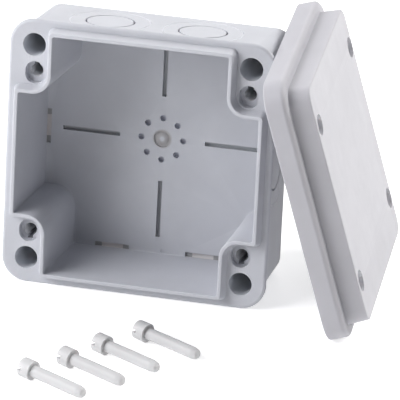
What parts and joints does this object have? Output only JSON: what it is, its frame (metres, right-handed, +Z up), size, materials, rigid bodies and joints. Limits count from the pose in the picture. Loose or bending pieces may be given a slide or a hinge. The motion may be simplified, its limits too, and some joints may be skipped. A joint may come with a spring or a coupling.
{
  "type": "junction box",
  "caption": "Square wall-mount junction box with knockouts and corner pillars, shown open: lid with seal leaning on its side, slotted lid screws on the floor.",
  "frame": {"origin": "on the floor, at the middle of the line on which the rim of the base stands", "axes": "+Z up; -Y is the side the open box faces; +X toward the side the lid leans on"},
  "size_m": [0.1566, 0.1865, 0.1096],
  "materials": {
    "base_plastic": "fine satin moulding, light grey",
    "lid_plastic": "fine satin moulding, light grey",
    "seal": "soft foamed rubber",
    "screw_plastic": "smooth satin, pale grey"
  },
  "bodies": {
    "root": {"base": "base_plastic", "lid": "lid_plastic", "lid_gasket": "seal", "lid_screw_1": "screw_plastic", "lid_screw_2": "screw_plastic", "lid_screw_3": "screw_plastic", "lid_screw_4": "screw_plastic"}
  },
  "joints": []
}
